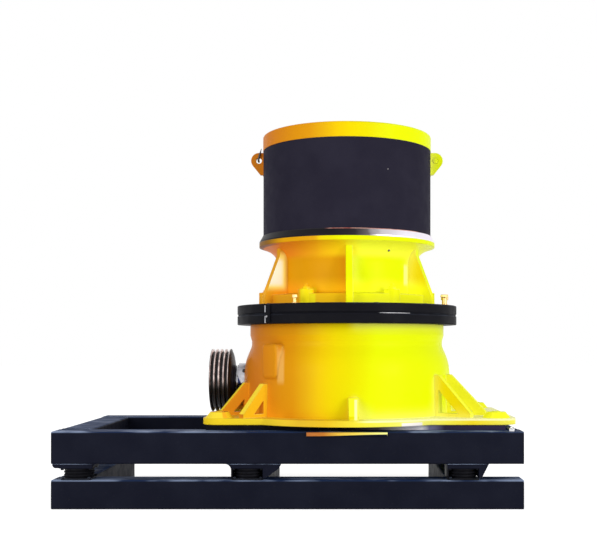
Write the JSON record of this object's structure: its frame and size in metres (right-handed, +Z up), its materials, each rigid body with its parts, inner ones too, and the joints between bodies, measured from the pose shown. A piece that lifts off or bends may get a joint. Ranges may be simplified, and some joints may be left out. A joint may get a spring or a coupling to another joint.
{
  "type": "cone crusher",
  "caption": "Cone crusher with a round feed hopper, ribbed top casting, bolted joint ring, flared bottom casting and grooved drive sheave, on a beam skid with rubber mounts.",
  "frame": {"origin": "middle of the skid's footprint, on the floor", "axes": "+X along the skid from the empty drive bay to the crusher's end, -Y the side seen in the picture, +Z up"},
  "size_m": [2.92, 1.6396, 2.439],
  "materials": {
    "yellow_paint": "gloss enamel",
    "skid_paint": "satin enamel",
    "hopper_paint": "satin enamel",
    "black_paint": "satin enamel",
    "rubber": "matte moulded",
    "ring_steel": "turned",
    "liner_steel": "as cast",
    "bare_steel": "turned",
    "inner_casting": "primed casting",
    "sheave_iron": "painted and machined"
  },
  "bodies": {
    "machine": {"bottom_shell": "yellow_paint", "bracket_front_left": "skid_paint", "bracket_front_middle": "skid_paint", "bracket_front_right": "skid_paint", "bracket_rear_left": "skid_paint", "bracket_rear_middle": "skid_paint", "bracket_rear_right": "skid_paint", "cleat_front": "yellow_paint", "cleat_rear": "yellow_paint", "concave": "liner_steel", "head_and_main_shaft": "bare_steel", "head_nut": "liner_steel", "hopper": "hopper_paint", "hopper_rim": "yellow_paint", "hub_and_arms": "inner_casting", "hydraulic_cylinder": "inner_casting", "joint_ring_lower": "black_paint", "joint_ring_upper": "black_paint", "lifting_eye_left": "yellow_paint", "lifting_eye_right": "yellow_paint", "lower_front_beam": "skid_paint", "lower_left_beam": "skid_paint", "lower_middle_beam": "skid_paint", "lower_right_beam": "skid_paint", "mantle": "liner_steel", "mount_front_left": "rubber", "mount_front_middle": "rubber", "mount_front_right": "rubber", "mount_rear_left": "rubber", "mount_rear_middle": "rubber", "mount_rear_right": "rubber", "pad_front": "rubber", "pad_rear": "rubber", "shaft_seal": "bare_steel", "spider": "ring_steel", "spider_cap": "inner_casting", "top_shell": "yellow_paint", "upper_cross_beam": "skid_paint", "upper_front_beam": "skid_paint", "upper_left_beam": "skid_paint", "upper_rear_beam": "skid_paint", "upper_right_beam": "skid_paint"},
    "drive": {"drive_shaft": "bare_steel", "taper_bush": "bare_steel", "drive_sheave": "sheave_iron"}
  },
  "joints": [
    {"name": "drive_spin", "type": "hinge", "parent": "machine", "child": "drive", "pos_m": [-0.503, 0, 0.774], "axis": [-1, 0, 0], "continuous": true}
  ]
}
